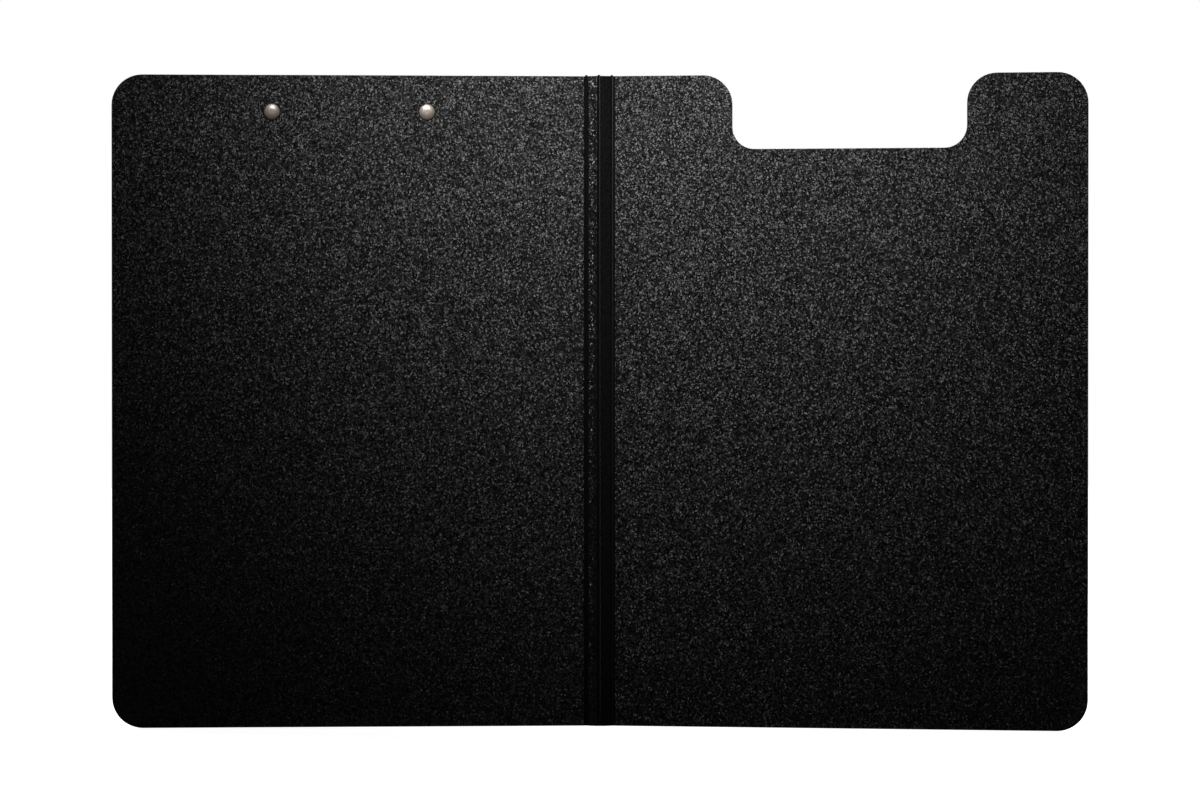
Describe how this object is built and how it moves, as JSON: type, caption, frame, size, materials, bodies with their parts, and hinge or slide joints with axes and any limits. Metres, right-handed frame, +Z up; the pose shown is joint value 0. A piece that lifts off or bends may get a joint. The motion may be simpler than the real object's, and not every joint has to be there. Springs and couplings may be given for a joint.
{
  "type": "clipboard folder",
  "caption": "Folding clipboard with a cover: two rounded boards joined by a three-crease spine, a riveted lever clip on the inner side, and a cut-out in the cover for the clip.",
  "frame": {"origin": "under the middle of the whole open folder, on the surface it stands on", "axes": "+X along the back board from its outer edge towards the spine and the cover, +Y from the outer faces to the side with the clip, +Z up the boards to the clip"},
  "size_m": [0.4737, 0.0686, 0.3212],
  "materials": {
    "grained_polypropylene": "pressed fine sand grain, satin",
    "pressed_crease": "smooth pressed channel",
    "nickel_plated_steel": "bright nickel plate",
    "rivet_steel": "nickel plate, warm grey",
    "spring_steel": "drawn wire",
    "black_rubber": "matt"
  },
  "bodies": {
    "back": {"back_board": "grained_polypropylene", "rear_crease": "pressed_crease", "rivet_left": "rivet_steel", "rivet_right": "rivet_steel", "clip_base_plate": "nickel_plated_steel", "clip_pin": "nickel_plated_steel", "spring_left": "spring_steel", "spring_right": "spring_steel"},
    "spine_rear": {"spine_rear_half": "grained_polypropylene", "middle_crease": "pressed_crease"},
    "spine_front": {"spine_front_half": "grained_polypropylene", "front_crease": "pressed_crease"},
    "cover": {"front_cover": "grained_polypropylene"},
    "clip_jaw": {"clip_jaw_plate": "nickel_plated_steel", "jaw_grip_left": "black_rubber", "jaw_grip_right": "black_rubber"}
  },
  "joints": [
    {"name": "rear_hinge", "type": "hinge", "parent": "back", "child": "spine_rear", "pos_m": [-0.00388, 0.01526, 0.16], "axis": [0, 0, 1], "range_deg": [-64.1, 95.9]},
    {"name": "middle_hinge", "type": "hinge", "parent": "spine_rear", "child": "spine_front", "pos_m": [0.00215, 0.01234, 0.16], "axis": [0, 0, 1], "range_deg": [-40, 0]},
    {"name": "front_hinge", "type": "hinge", "parent": "spine_front", "child": "cover", "pos_m": [0.00864, 0.01397, 0.16], "axis": [0, 0, 1], "range_deg": [-64.1, 95.9]},
    {"name": "clip_pivot", "type": "hinge", "parent": "back", "child": "clip_jaw", "pos_m": [-0.12068, 0.02256, 0.305], "axis": [1, 0, 0], "range_deg": [0, 28], "stiffness_Nm_per_rad": 0.4, "springref_deg": -28.65, "deforming": ["spring_left", "spring_right"]}
  ]
}
